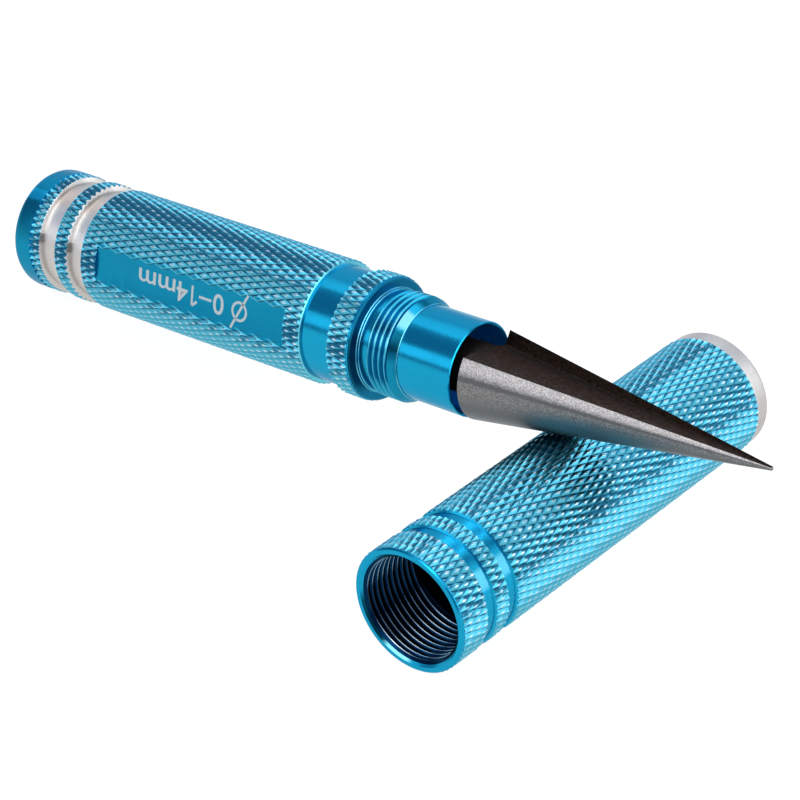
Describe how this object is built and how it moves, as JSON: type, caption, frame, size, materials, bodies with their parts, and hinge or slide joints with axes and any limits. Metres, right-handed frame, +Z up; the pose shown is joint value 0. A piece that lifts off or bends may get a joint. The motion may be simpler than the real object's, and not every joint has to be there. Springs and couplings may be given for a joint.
{
  "type": "sheet metal reamer",
  "caption": "Pocket cone reamer for sheet metal: a knurled screw handle with a half-round tapered blade, resting across its knurled screw cap.",
  "frame": {"origin": "middle of the underside of the whole set as it lies on a level surface", "axes": "+X from the handle's butt towards the blade's tip, seen from above; +Y along the cap, away from its mouth; +Z up"},
  "size_m": [0.1358, 0.072, 0.0292],
  "materials": {
    "anodised_grip": "bright blue anodised, knurled, with bare turned bands",
    "blade_steel": "fine ground cone, dark flute"
  },
  "bodies": {
    "root": {"handle": "anodised_grip", "cap": "anodised_grip", "reamer_blade": "blade_steel"}
  },
  "joints": []
}
